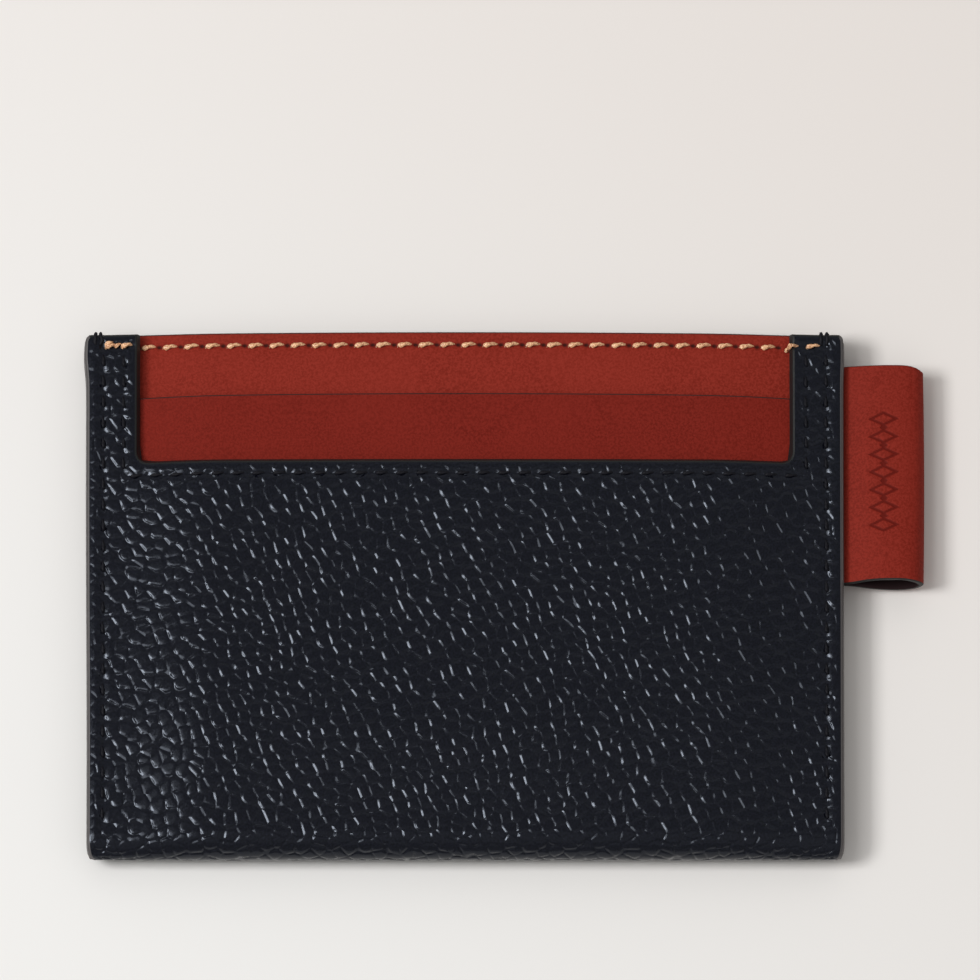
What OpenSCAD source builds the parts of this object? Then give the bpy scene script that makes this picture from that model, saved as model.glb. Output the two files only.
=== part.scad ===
// Flat leather card holder: a pebbled outer folded at the bottom, two smooth
// slot panels behind a U-shaped front, a pocket open at the top, and a loop tab
// caught in the right seam. It lies on its back. X runs across, Y runs up to the
// open top, Z comes out of the front; the origin is the middle of the back face.

/* [Body] */
// Width across the sewn sides
body_w = 100; // [96:1:115]
// Height from the folded bottom to the open top
body_h = 71.5; // [66:0.5:90]
// Radius of the four corners
corner_r = 1.8; // [1:0.2:3]
// Thickness of the pebbled outer leather
outer_t = 1.0; // [0.8:0.05:1.3]
// Thickness of the smooth slot panels
panel_t = 0.6; // [0.5:0.05:0.9]
// Thickness of the textile linings
lining_t = 0.2; // [0.15:0.05:0.3]
// Room kept open for a card in each pocket
card_gap = 0.85; // [0.8:0.05:1.2]
// Flat sewn margin, from the side edge to the start of the rise
margin_w = 3.0; // [2.6:0.1:4]

/* [Openings] */
// Width of the U cut in the front
u_w = 86.4; // [86:0.2:90]
// Depth of the U cut below the top
u_depth = 17.7; // [12:0.1:24]
// Radius of the U cut's lower corners
u_r = 1.8; // [1:0.2:4]
// Distance from the top down to the lower slot panel's edge
slot_step = 8.6; // [7:0.1:11]

/* [Stitching] */
// Length from one stitch hole to the next
pitch = 2.82; // [2.4:0.02:3.4]
// Length of thread seen between two holes
stitch_l = 2.05; // [1.6:0.05:2.2]
// Diameter of the sewing thread
thread_d = 0.45; // [0.3:0.05:0.6]
// Side seams' distance from the side edges
seam_inset = 2.3; // [2:0.1:2.5]
// Top seams' distance from the top edge
top_inset = 1.6; // [1.4:0.1:2]
// U seam's distance from the U edge
u_inset = 1.85; // [1.6:0.05:2]

/* [Loop tab] */
// Height of the tab's strip
tab_h = 29.5; // [20:0.5:34]
// Distance from the holder's top down to the tab
tab_drop = 4.2; // [3:0.1:8]
// How far the loop stands out from the side edge
tab_out = 10.4; // [9:0.1:14]
// Thickness of the strip
strip_t = 0.88; // [0.7:0.02:1]
// Thickness of the loop where it is fullest
loop_t = 4.8; // [4:0.1:5.4]

/* [Hidden] */
$fn = 48;

navy = [0.13, 0.14, 0.18];
cognac = [0.53, 0.16, 0.12];
textile = [0.20, 0.17, 0.17];
tan_thread = [0.82, 0.62, 0.38];
navy_thread = [0.08, 0.09, 0.14];

sewn = 2*outer_t + 3*lining_t + 2*panel_t;   // plies pressed together at the seams
thick = sewn + 3*card_gap;                   // the open part between the seams
mid = thick/2;
rise = (thick - sewn)/2;
top = body_h/2;
side = body_w/2;
crease = side - margin_w;                    // the flat sewn margin ends here
flat = u_w/2;                                // and the walls are level again here
slope = atan2(rise, crease - flat);
fold_r = thick/2;                            // outside radius of the bottom fold

// Lower face of each ply as [height in the open part, height in the sewn margin]
function over(z, t, gap) = [z[0] + t + gap, z[1] + t];
z_back_lining = [outer_t, rise + outer_t];
z_pocket_lining = over(z_back_lining, lining_t, card_gap);
z_upper = over(z_pocket_lining, lining_t, 0);
z_lower = over(z_upper, panel_t, card_gap);
z_front_lining = over(z_lower, panel_t, card_gap);

tab_mid = top - tab_drop - tab_h/2;
hinge_x = side + 1.2;                        // the strip bends just outside the seam
nose_r = 0.85;                               // its two plies pressed together there
loop_r = loop_t/2;
loop_x = side + tab_out - loop_r;
eye_x = hinge_x + 2.2;                       // the loop's plies part here

groove_w = 0.6;
groove_d = 0.2;
bobbin_d = 0.3;
seam_x = side - seam_inset;
seam_low = fold_r + 0.6 - top;               // the side seams stop above the fold
top_y = top - top_inset;
u_y = top - u_depth - u_inset;
u_x = flat + u_inset;
u_pitch = 0.95*pitch;
n_side = floor((top - 1.2 - seam_low)/pitch);
n_top = floor((u_w - 1)/pitch);
n_u = floor((u_w - 0.4)/u_pitch);
n_arm = floor((top_y - u_y - 1.4)/u_pitch);

// ---- shapes shared by the plies ----

// Carries an X-Z outline up the holder's whole height
module along_y(clear = 0) {
    translate([0, top + clear, 0]) rotate([90, 0, 0])
        linear_extrude(body_h + 2*clear) children();
}

// X-Z outline of the closed holder, drawn in by an inset at front and back
module lens(inset, w) {
    lo = [rise + inset, inset];
    hi = [thick - rise - inset, thick - inset];
    polygon([[-w, lo[0]], [-crease, lo[0]], [-flat, lo[1]], [flat, lo[1]],
             [crease, lo[0]], [w, lo[0]], [w, hi[0]], [crease, hi[0]],
             [flat, hi[1]], [-flat, hi[1]], [-crease, hi[0]], [-w, hi[0]]]);
}

// X-Z outline of one ply that runs from margin to margin
module hat(z, t) {
    polygon([[-side, z[1]], [-crease, z[1]], [-flat, z[0]], [flat, z[0]],
             [crease, z[1]], [side, z[1]], [side, z[1] + t], [crease, z[1] + t],
             [flat, z[0] + t], [-flat, z[0] + t], [-crease, z[1] + t], [-side, z[1] + t]]);
}

// Everything inside a bottom fold of radius r
module fold_room(r) {
    w = body_w + 4;
    translate([-w/2, fold_r - top, mid]) rotate([0, 90, 0]) cylinder(r = r, h = w);
    translate([-w/2, fold_r - top, mid - r]) cube([w, body_h, 2*r]);
}

// A plate with round corners that covers the holder's outline
module outline() {
    h = thick + 2;
    translate([-side, corner_r - top, -1]) cube([body_w, body_h - 2*corner_r, h]);
    translate([corner_r - side, -top, -1]) cube([body_w - 2*corner_r, body_h, h]);
    for (x = [-1, 1], y = [-1, 1])
        translate([x*(side - corner_r), y*(top - corner_r), -1]) cylinder(r = corner_r, h = h);
}

// The U-shaped opening through the front wall
module u_cut() {
    y0 = top - u_depth;
    translate([-flat, y0 + u_r, mid]) cube([u_w, u_depth, thick]);
    translate([u_r - flat, y0, mid]) cube([u_w - 2*u_r, u_depth, thick]);
    for (x = [-1, 1]) translate([x*(flat - u_r), y0 + u_r, mid]) cylinder(r = u_r, h = thick);
}

// One ply of the stack, cut to the outline and to the inside of the fold
module ply(z, t) {
    intersection() {
        along_y() hat(z, t);
        fold_room(fold_r - outer_t);
        outline();
    }
}

// The gap left in both slot panels for the ends of the tab's strip
module anchor_room() {
    translate([crease - 0.2, tab_mid - tab_h/2 - 0.2, z_upper[1] - 0.05])
        cube([margin_w + 1, tab_h + 0.4, 2*panel_t + 0.1]);
}

// ---- shapes shared by the seams ----

// n stitches along X, on the line of thread that joins them; it lies flat on z = 0
module stitches(n, p = pitch, l = stitch_l, d = thread_d) {
    a = d/2*cos(22.5);
    translate([-n*p/2, -d/4, 0]) cube([n*p, d/2, a/2]);
    for (i = [0 : n - 1])
        translate([(i - (n - 1)/2)*p - l/2, 0, a]) rotate([0, 90, 0])
            rotate(22.5) cylinder(d = d, h = l, $fn = 8);
}

// The trough that a seam of length l pulls into the leather
module groove(l) {
    translate([-l/2, -groove_w/2, 0]) cube([l, groove_w, 2]);
}

// The back carries the same seams as the front, turned over
module flip() {
    translate([0, 0, thick]) mirror([0, 0, 1]) children();
}

// Sets a seam's bed in the front of a side margin
module on_margin(s) {
    translate([s*seam_x, (top - 1.2 + seam_low)/2, thick - rise - groove_d])
        rotate(90) children();
}

// Sets a seam's bed in the slope of the wall beside the U cut, depth d below the face
module on_slope(s, x, y, d) {
    translate([s*x, y, thick - (x - flat)*tan(slope)]) rotate([0, s*slope, 0])
        translate([0, 0, -d]) children();
}

module on_arm(s, d) {
    on_slope(s, u_x, (top_y + u_y)/2 + 0.2, d) rotate(90) children();
}

module on_arm_top(s, d = groove_d) {
    on_slope(s, (flat + crease)/2, top_y, d) children();
}

module arm_top_stitches() {
    stitches(2, 1.9, 1.5);
}

// A side seam's thread turns back twice over the top edge, at the two given insets
module seam_thread(s, turns) {
    on_margin(s) stitches(n_side);
    for (x = turns) translate([s*(side - x), 0, 0]) {
        translate([-0.2, top - 2.8, thick - rise]) cube([0.4, 3.1, 0.3]);
        translate([-0.2, top, rise - 0.3]) cube([0.4, 0.3, sewn + 0.6]);
        translate([-0.2, top - 0.9, rise - 0.3]) cube([0.4, 1.2, 0.3]);
    }
    translate([s*(side - (turns[0] + turns[1])/2), top - 2.7, thick - rise])
        translate([-0.5, -0.2, 0]) cube([1, 0.4, 0.3]);
}

module seam_bobbin(s) {
    flip() on_margin(s) stitches(n_side);
}

// ---- pieces ----

// Pebbled leather in one piece: front with the U cut, bottom fold and back
module outer_shell() {
    color(navy) difference() {
        intersection() {
            along_y() lens(0, side);
            fold_room(fold_r);
            outline();
        }
        intersection() {
            along_y(1) lens(outer_t, side + 1);
            fold_room(fold_r - outer_t);
        }
        u_cut();
        for (s = [-1, 1]) {
            on_margin(s) groove(n_side*pitch + 0.4);
            flip() on_margin(s) groove(n_side*pitch + 0.4);
            on_arm(s, groove_d) groove(n_arm*u_pitch + 0.2);
            on_arm_top(s) groove(3.9);
            flip() on_arm_top(s) groove(3.9);
        }
        translate([0, u_y, thick - groove_d]) groove(n_u*u_pitch + 0.2);
        flip() translate([0, top_y, thick - thread_d]) groove(n_top*pitch + 0.2);
    }
}

module front_lining() {
    color(textile) difference() {
        ply(z_front_lining, lining_t);
        u_cut();
        translate([0, u_y, z_front_lining[0] - 0.5]) groove(n_u*u_pitch + 0.2);
        for (s = [-1, 1]) on_arm(s, outer_t + 1) groove(n_arm*u_pitch + 0.2);
    }
}

// Its top edge shows above the U; two ears go on up under the front's arms
module lower_slot_panel() {
    color(cognac) difference() {
        ply(z_lower, panel_t);
        translate([-flat - 1.3, top - slot_step, mid - 3]) cube([u_w + 2.6, slot_step + 1, 9]);
        anchor_room();
    }
}

module upper_slot_panel() {
    color(cognac) difference() {
        ply(z_upper, panel_t);
        translate([0, top_y, z_upper[0] + panel_t - groove_d]) groove(n_top*pitch + 0.2);
        anchor_room();
    }
}

module pocket_lining() {
    color(textile) difference() {
        ply(z_pocket_lining, lining_t);
        translate([0, top_y, z_pocket_lining[0] - 0.5]) groove(n_top*pitch + 0.2);
    }
}

module back_lining() {
    color(textile) difference() {
        ply(z_back_lining, lining_t);
        translate([0, top_y, z_back_lining[0] - 0.5]) groove(n_top*pitch + 0.2);
    }
}

// Stands a solid drawn across the tab's strip in its place
module along_tab() {
    translate([0, tab_mid + tab_h/2, mid]) rotate([90, 0, 0]) children();
}

// The strip outside the seam, doubled over into a hollow loop
module loop_tab() {
    b = asin((loop_r - nose_r)/(loop_x - hinge_x));
    eye_r = loop_r - strip_t;
    a = acos(eye_r/(loop_x - eye_x));
    nose = [hinge_x - nose_r*sin(b), nose_r*cos(b)];
    full = [loop_x - loop_r*sin(b), loop_r*cos(b)];
    eye = [loop_x - eye_r*cos(a), eye_r*sin(a)];
    color(cognac) difference() {
        along_tab() union() {
            translate([hinge_x, 0, 0]) cylinder(r = nose_r, h = tab_h);
            translate([loop_x, 0, 0]) cylinder(r = loop_r, h = tab_h);
            linear_extrude(tab_h)
                polygon([[full[0], -full[1]], full, nose, [nose[0], -nose[1]]]);
        }
        along_tab() translate([0, 0, -1]) union() {
            translate([loop_x, 0, 0]) cylinder(r = eye_r, h = tab_h + 2);
            linear_extrude(tab_h + 2)
                polygon([[eye_x, 0], [eye[0], -eye[1]], [loop_x, 0], eye]);
        }
    }
}

// The strip's two ends, pared thin and caught by the right seam
module tab_anchor() {
    color(cognac) translate([crease, tab_mid - tab_h/2, z_upper[1]])
        cube([hinge_x - nose_r - 0.25 - crease, tab_h, 2*panel_t]);
}

module front_top_thread() {
    color(tan_thread) {
        translate([0, top_y, z_upper[0] + panel_t - groove_d]) stitches(n_top);
        for (s = [-1, 1]) on_arm_top(s) arm_top_stitches();
    }
}

module front_top_bobbin() {
    color(tan_thread) translate([0, top_y, z_upper[0]]) mirror([0, 0, 1])
        stitches(n_top, d = bobbin_d);
}

module back_top_thread() {
    color(tan_thread) flip() {
        translate([0, top_y, thick - thread_d]) stitches(n_top);
        for (s = [-1, 1]) on_arm_top(s) arm_top_stitches();
    }
}

module back_top_bobbin() {
    color(tan_thread) translate([0, top_y, outer_t]) stitches(n_top, d = bobbin_d);
}

module u_edge_thread() {
    color(navy_thread) {
        translate([0, u_y, thick - groove_d]) stitches(n_u, u_pitch, 0.95*stitch_l);
        for (s = [-1, 1]) on_arm(s, groove_d) stitches(n_arm, u_pitch, 0.95*stitch_l);
    }
}

module u_edge_bobbin() {
    color(navy_thread) {
        translate([0, u_y, thick - outer_t]) mirror([0, 0, 1])
            stitches(n_u, u_pitch, 0.95*stitch_l, bobbin_d);
        for (s = [-1, 1]) on_arm(s, outer_t*cos(slope)) mirror([0, 0, 1])
            stitches(n_arm, u_pitch, 0.95*stitch_l, bobbin_d);
    }
}

module left_seam_thread() { color(navy_thread) seam_thread(-1, [2.0, 1.2]); }
module left_seam_bobbin() { color(navy_thread) seam_bobbin(-1); }
module right_seam_thread() { color(navy_thread) seam_thread(1, [2.9, 2.2]); }
module right_seam_bobbin() { color(navy_thread) seam_bobbin(1); }

outer_shell();
front_lining();
lower_slot_panel();
upper_slot_panel();
pocket_lining();
back_lining();
loop_tab();
tab_anchor();
front_top_thread();
front_top_bobbin();
back_top_thread();
back_top_bobbin();
u_edge_thread();
u_edge_bobbin();
left_seam_thread();
left_seam_bobbin();
right_seam_thread();
right_seam_bobbin();
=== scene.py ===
import math

import bpy
import numpy as np
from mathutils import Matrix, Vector


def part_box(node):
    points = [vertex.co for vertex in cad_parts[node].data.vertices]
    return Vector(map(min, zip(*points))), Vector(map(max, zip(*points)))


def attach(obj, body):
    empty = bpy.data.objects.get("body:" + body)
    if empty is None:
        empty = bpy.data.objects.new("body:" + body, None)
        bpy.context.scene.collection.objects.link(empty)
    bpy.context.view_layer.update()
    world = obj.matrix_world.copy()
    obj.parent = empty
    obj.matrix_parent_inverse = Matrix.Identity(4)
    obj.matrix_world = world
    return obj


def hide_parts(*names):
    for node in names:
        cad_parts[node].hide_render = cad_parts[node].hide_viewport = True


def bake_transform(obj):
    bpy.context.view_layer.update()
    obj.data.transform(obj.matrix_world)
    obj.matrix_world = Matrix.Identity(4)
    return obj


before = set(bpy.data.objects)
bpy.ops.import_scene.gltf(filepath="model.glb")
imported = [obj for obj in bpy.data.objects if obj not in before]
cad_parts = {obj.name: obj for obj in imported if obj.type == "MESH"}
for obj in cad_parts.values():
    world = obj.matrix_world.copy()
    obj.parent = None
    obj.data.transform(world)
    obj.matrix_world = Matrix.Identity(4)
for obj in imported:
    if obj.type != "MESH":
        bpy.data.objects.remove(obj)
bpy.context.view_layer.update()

# ---------------------------------------------------------------------------
# The outer. One piece of pebble-embossed calf, 1 mm thick, with a U cut in its
# front. It is folded at the bottom and sewn to itself down both sides, and its
# cut edges are painted. The seams pull channels into it.
# ---------------------------------------------------------------------------

MM = 0.001
outer_low, outer_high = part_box("outer_shell")
SIDE, TOP, THICK = outer_high[0], outer_high[1], outer_high[2]
MID = THICK / 2
SEWN = 3.8 * MM  # all the plies pressed together in the side seams
OUTER = 1.0 * MM
FOLD_R = THICK / 2
FOLD_Y = outer_low[1] + FOLD_R
OPENING = 16 * MM  # the pockets open over this distance from the seams and the fold
SWELL = 0.6 * MM  # how far the middle of the front bows forward
ARM_DROP = 0.3 * MM
U_HALF = 43.2 * MM
U_DEPTH = 17.7 * MM
U_LOW = TOP - U_DEPTH
U_CORNER = 1.5 * MM
CORNER = 0.7 * MM
PEBBLE = 1.72 * MM  # mean width of one pebble
GRAIN_DEPTH = 0.07 * MM

seam_low, seam_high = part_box("right_seam_bobbin")
SEAM_X = (seam_low[0] + seam_high[0]) / 2
SEAM_Y = (seam_low[1], seam_high[1])
SEAM_PITCH = 2.83 * MM
SEAM_HOLES = round((SEAM_Y[1] - SEAM_Y[0]) / SEAM_PITCH)
top_low, top_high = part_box("front_top_bobbin")
TOP_SEAM_Y = (top_low[1] + top_high[1]) / 2
ROW_SHIFT = 0.75 * MM  # the row starts a little to the left of its marks
TOP_SEAM = (top_low[0] - ROW_SHIFT, top_high[0] - ROW_SHIFT)
TOP_HOLES = round((TOP_SEAM[1] - TOP_SEAM[0]) / SEAM_PITCH)
BACK_HOLES = 34
U_MARGIN = 1.85 * MM  # from the U's cut edge to its seam
U_SEAM_X = U_HALF + U_MARGIN
U_SEAM_Y = U_LOW - U_MARGIN
U_PITCH = 2.68 * MM
U_ROW = U_SEAM_X - 0.5 * MM
U_HOLES = round(2 * U_ROW / U_PITCH)
U_ARM_HOLES = 6


def smooth(t):
    t = np.clip(t, 0, 1)
    return t * t * (3 - 2 * t)


def opened(x):
    """0 in the sewn margins, 1 where the pockets are fully open."""
    return smooth((SEAM_X + 0.6 * MM - np.abs(x)) / OPENING)


def trim(x, y):
    """How far the side edges stand in from the full width: a slight swelling near
    the top, a taper into the fold at the bottom."""
    swell = np.exp(-(((y - TOP + 2.7 * MM) / (2.8 * MM)) ** 2)) * np.where(x < 0, 0.3, 0.12) * MM
    swell = swell - smooth((TOP - 20 * MM - y) / (40 * MM)) * np.where(x < 0, 0.2, 0.0) * MM
    taper = 0.45 * MM * np.clip((outer_low[1] + 2.4 * MM - y) / (2.4 * MM), 0, 1) ** 2.4
    turn = np.clip(outer_low[1] + 0.5 * MM - y, 0, 0.5 * MM)
    return taper + 0.5 * MM - np.sqrt((0.5 * MM) ** 2 - turn**2) + 0.1 * MM - swell


def half_thickness(x):
    flare = 0.1 * MM * np.exp(-(((np.abs(x) - SIDE + 1.0 * MM) / (0.8 * MM)) ** 2))
    return SEWN / 2 + (THICK - SEWN) / 2 * opened(x) + flare


def front_height(x, y):
    """The outer's grain side, before the seams pull it in."""
    arm = smooth((y - U_LOW) / (5 * MM)) * ARM_DROP * opened(x)
    bow = SWELL * (1 - (x / SIDE) ** 2) * smooth((y - FOLD_Y) / OPENING)
    return MID + half_thickness(x) - arm + bow


def seam_pull(along, across, ends, holes, channel, dimple):
    """How deep a row of stitches draws the leather in, with a dimple at each hole."""
    lo, hi = ends
    pitch = (hi - lo) / holes
    inside = smooth((along - lo + 0.6 * MM) / (0.6 * MM)) * smooth((hi + 0.6 * MM - along) / (0.6 * MM))
    nearest = along - (lo + np.clip(np.round((along - lo) / pitch), 0, holes) * pitch)
    trough = channel * inside * np.exp(-((across / (0.42 * MM)) ** 2))
    return trough + dimple * np.exp(-((nearest**2 + across**2) / (0.34 * MM) ** 2))


def front_pull(x, y):
    """How far the side seams, the U's seam and the top row draw the front in."""
    pull = seam_pull(y, np.abs(x) - SEAM_X, SEAM_Y, SEAM_HOLES, 0.08 * MM, 0.11 * MM)
    pull += seam_pull(x, y - U_SEAM_Y, (-U_ROW, U_ROW), U_HOLES, 0.08 * MM, 0.16 * MM)
    arm_row = (U_SEAM_Y + 0.5 * MM, TOP_SEAM_Y - 0.6 * MM)
    pull += seam_pull(y, np.abs(x) - U_SEAM_X, arm_row, U_ARM_HOLES, 0.05 * MM, 0.1 * MM)
    arm_top = (U_HALF + 0.5 * MM, SEAM_X)
    pull += seam_pull(np.abs(x), y - TOP_SEAM_Y, arm_top, 2, 0.12 * MM, 0.15 * MM)
    return pull


def back_pull(x, y):
    pull = seam_pull(y, np.abs(x) - SEAM_X, SEAM_Y, SEAM_HOLES, 0.13 * MM, 0.2 * MM)
    pull += seam_pull(x, y - TOP_SEAM_Y, (-SEAM_X, SEAM_X), BACK_HOLES, 0.3 * MM, 0.2 * MM)
    return pull


def ruled(lo, hi, step, marks=(), wide=2.4 * MM, close=(0.08 * MM, 0.2 * MM, 0.36 * MM)):
    """Lines from lo to hi through every mark, close together beside each one.
    Gives the lines and the few of them that a plain side needs."""
    knots = sorted({lo, hi, *marks})
    lines, few = [], []
    for a, b in zip(knots, knots[1:]):
        inner = [a + (b - a) * k / round((b - a) / step) for k in range(1, round((b - a) / step))]
        edge = [a + c for c in close] + [b - c for c in close]
        inner = [v for v in inner if a + close[-1] * 1.4 < v < b - close[-1] * 1.4]
        part = sorted([*edge, *inner])
        few.append(len(lines))
        lines.append(a)
        stride = max(1, round(wide / step))
        few += [len(lines) + k for k in range(stride, len(part) - stride // 2, stride)]
        lines += part
    few.append(len(lines))
    lines.append(hi)
    return np.array(lines), np.array(few)


def round_outside(x, y, cx, cy, r=CORNER, reach=3.5 * MM):
    """Draws the leather in round an outer corner at (cx, cy)."""
    sx, sy = np.sign(cx), np.sign(cy)
    a, b = (cx - x) * sx, (cy - y) * sy
    depth, t = np.minimum(a, b), np.clip(np.abs(a - b) / r, 0, 1)
    turn = (1 - t) * math.pi / 4
    fade = np.clip(1 - depth / reach, 0, 1) ** 2
    near, far = (r - r * np.cos(turn)) * fade, (r - r * np.sin(turn) - t * r) * fade
    return x - sx * np.where(a <= b, near, far), y - sy * np.where(a <= b, far, near)


def round_inside(x, y, cx, cy, r=U_CORNER, reach=2.5 * MM):
    """Brings the leather forward into the U's lower corner at (cx, cy)."""
    sx = -np.sign(cx)
    a, b = (x - cx) * sx, y - cy
    t = np.clip(np.maximum(a, b) / r, 0, 1)
    turn = (1 - t) * math.pi / 4
    depth = np.where((a < 0) & (b < 0), np.hypot(a, b), -np.minimum(a, b))
    fade = np.clip(1 - depth / reach, 0, 1) ** 2
    along, out = (r - r * np.sin(turn) - t * r) * fade, (r - r * np.cos(turn)) * fade
    return x + sx * np.where(a > b, along, out), y + np.where(a > b, out, along)


def ply_mesh(name, face, flesh, kept, painted, rows=None, cols=None):
    """A closed ply. face and flesh are grids of points on its two sides, kept says
    which cells are leather. The flesh side uses only some rows and columns.
    Materials: 0 face, 1 flesh side, 2 painted edge, or painted's own number."""
    n, m = face.shape[:2]
    rows = np.arange(n) if rows is None else rows
    cols = np.arange(m) if cols is None else cols
    at = np.arange(n * m).reshape(n, m)
    ci, cj = np.nonzero(kept)
    quads = np.stack([at[ci, cj], at[ci + 1, cj], at[ci + 1, cj + 1], at[ci, cj + 1]], 1)
    faces = quads.tolist()
    painted = np.where(painted, 2, 0) if painted.dtype == bool else painted
    slots = painted[ci, cj].tolist()
    back = n * m + np.arange(len(rows) * len(cols)).reshape(len(rows), len(cols))
    wide = kept[rows[:-1]][:, cols[:-1]]
    wide = np.pad(wide, 1)
    for r in range(len(rows) - 1):
        for c in range(len(cols) - 1):
            if not wide[r + 1, c + 1]:
                continue
            k = [back[r, c], back[r, c + 1], back[r + 1, c + 1], back[r + 1, c]]
            faces.append(k)
            slots.append(1)
            i0, i1, j0, j1 = rows[r], rows[r + 1], cols[c], cols[c + 1]
            for open_side, path, a, b in (
                (wide[r + 1, c], at[i0 : i1 + 1, j0], k[0], k[3]),
                (wide[r + 2, c + 1], at[i1, j0 : j1 + 1], k[3], k[2]),
                (wide[r + 1, c + 2], at[i0 : i1 + 1, j1][::-1], k[2], k[1]),
                (wide[r, c + 1], at[i0, j0 : j1 + 1][::-1], k[1], k[0]),
            ):
                if open_side:
                    continue
                half = len(path) // 2
                for p in range(len(path) - 1):
                    faces.append([path[p + 1], path[p], a if p < half else b])
                faces.append([path[half], a, b])
                slots += [2] * len(path)
    points = np.concatenate([face.reshape(-1, 3), flesh[rows][:, cols].reshape(-1, 3)])
    used = np.zeros(len(points), bool)
    for f in faces:
        used[f] = True
    new = np.cumsum(used) - 1
    mesh = bpy.data.meshes.new(name)
    mesh.from_pydata(points[used].tolist(), [], [new[f].tolist() for f in faces])
    mesh.polygons.foreach_set("material_index", slots)
    mesh.polygons.foreach_set("use_smooth", [True] * len(faces))
    mesh.update()
    piece = bpy.data.objects.new(name, mesh)
    bpy.context.scene.collection.objects.link(piece)
    return piece, used


def mark_points(piece, name, values):
    """Stores one number or one vector for each point of the mesh."""
    values = np.asarray(values, np.float32)
    kind = "FLOAT_VECTOR" if values.ndim == 2 else "FLOAT"
    layer = piece.data.attributes.new(name, kind, "POINT")
    layer.data.foreach_set("vector" if values.ndim == 2 else "value", values.ravel())


def finish_mesh(piece, angle=38):
    piece.data.set_sharp_from_angle(angle=math.radians(angle))


GRAIN_STEP = 0.25 * MM
BEVEL = 0.42 * MM
SLANT = 0.32 * MM  # the U is skived, so its flesh side stands back from the cut
PAINT_WIDE, SIDE_PAINT_WIDE = 0.37 * MM, 0.45 * MM
WANDER = 0.6 * MM
TURNED = (0.93, 0.36)  # the pattern lies turned about 21 degrees on the hide
wall = TOP - FOLD_Y
fold = math.pi * FOLD_R
across, few_across = ruled(-SIDE, SIDE, GRAIN_STEP, (-U_HALF, U_HALF))
down, few_down = ruled(0, 2 * wall + fold, GRAIN_STEP, (U_DEPTH, wall, wall + fold))
X, S = np.meshgrid(across, down)
on_front, on_back = S <= wall, S >= wall + fold
turn = np.clip((S - wall) / FOLD_R, 0, math.pi)
on_fold = ~on_front & ~on_back
Y = np.where(on_back, FOLD_Y + S - wall - fold, FOLD_Y - FOLD_R * np.sin(turn))
Y = np.where(on_front, TOP - S, Y)
past_x, past_y = np.abs(X) >= U_HALF, S >= U_DEPTH
beside = np.where(past_x, np.abs(X) - U_HALF, S - U_DEPTH)
beside = np.where(past_x & (S > U_DEPTH), np.hypot(np.abs(X) - U_HALF, S - U_DEPTH), beside)
to_end = np.where(on_front, np.minimum(S, np.abs(beside)), 2 * wall + fold - S)
to_edge = np.where(on_fold, SIDE - np.abs(X), np.minimum(SIDE - np.abs(X), to_end))

near = np.clip(BEVEL - to_edge, 0, BEVEL)
eased = BEVEL - np.sqrt(BEVEL**2 - near**2)
half = half_thickness(X)
sides = [on_front, on_back]
tuck = eased + np.select(sides, [front_pull(X, Y), back_pull(X, Y)], 0.0)
height = np.select(sides, [front_height(X, Y), MID - half], MID + half * np.cos(turn))
lean = np.select(sides, [1.0, -1.0], np.cos(turn))
face = np.stack([X, Y + tuck * np.sin(turn) * ~on_back, height - tuck * lean], -1)
flesh_y = np.where(on_fold, FOLD_Y - (FOLD_R - OUTER) * np.sin(turn), Y)
flesh = np.stack([X, flesh_y, height - OUTER * lean], -1)
slant = SLANT * np.clip(1 - np.abs(beside) / (1.2 * MM), 0, 1) * on_front
both = np.where(past_x & past_y, 0.7, 1.0)
flesh[..., 0] -= np.sign(X) * slant * past_x * both
flesh[..., 1] += slant * past_y * both
for grid in (face, flesh):
    gx, gy = grid[..., 0], grid[..., 1]
    for sx in (-1, 1):
        for region in sides:
            rx, ry = round_outside(gx, gy, sx * SIDE, TOP)
            gx, gy = np.where(region, rx, gx), np.where(region, ry, gy)
        ux, uy = round_inside(gx, gy, sx * U_HALF, U_LOW)
        gx, gy = np.where(on_front, ux, gx), np.where(on_front, uy, gy)
    fade = np.clip(1 - (SIDE - np.abs(X)) / (6 * MM), 0, 1) ** 1.5
    grid[..., 0] = gx - np.sign(X) * trim(X, np.clip(gy, outer_low[1], TOP)) * fade
    grid[..., 1] = gy

cell_x = (across[1:] + across[:-1]) / 2
cell_s = (down[1:] + down[:-1]) / 2
kept = ~((np.abs(cell_x)[None, :] < U_HALF) & (cell_s[:, None] < U_DEPTH))
corners = [to_edge[1:, 1:], to_edge[:-1, :-1], to_edge[1:, :-1], to_edge[:-1, 1:]]
# Cells at the outer sides take slot 3, the lighter side paint: painted light on the side edges.
at_side = SIDE - np.abs(cell_x) < SIDE_PAINT_WIDE
painted = np.where(np.maximum.reduce(corners) < PAINT_WIDE, np.where(at_side, 3, 2), 0)
outer, used = ply_mesh("outer_leather", face, flesh, kept, painted, few_down, few_across)

# The grain is laid out on the flat hide, wandering a little, and fades out at the
# cut edges and where the seams press it down. The flesh side has none.
wander_x = 1.1 * np.sin(X / (7.3 * MM) + S / (11.1 * MM))
wander_x += 0.6 * np.sin(S / (4.9 * MM) - X / (13 * MM) + 1.3)
wander_y = 1.0 * np.sin(S / (8.1 * MM) - X / (9.7 * MM) + 0.7)
wander_y += 0.6 * np.sin(X / (5.3 * MM) + S / (15 * MM) + 2.1)
hide_x, hide_y = X + WANDER * wander_x, -S + WANDER * wander_y
along_hide = TURNED[0] * hide_x + TURNED[1] * hide_y
across_hide = TURNED[0] * hide_y - TURNED[1] * hide_x
plain = len(few_down) * len(few_across)
flat_map = np.stack([along_hide, across_hide, 0 * X], -1).reshape(-1, 3)
flat_map = np.concatenate([flat_map, np.zeros((plain, 3))])
relief = smooth((to_edge - 0.3 * MM) / (1.0 * MM)) * np.exp(-1.3 * (tuck - eased) / (0.2 * MM))
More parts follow.
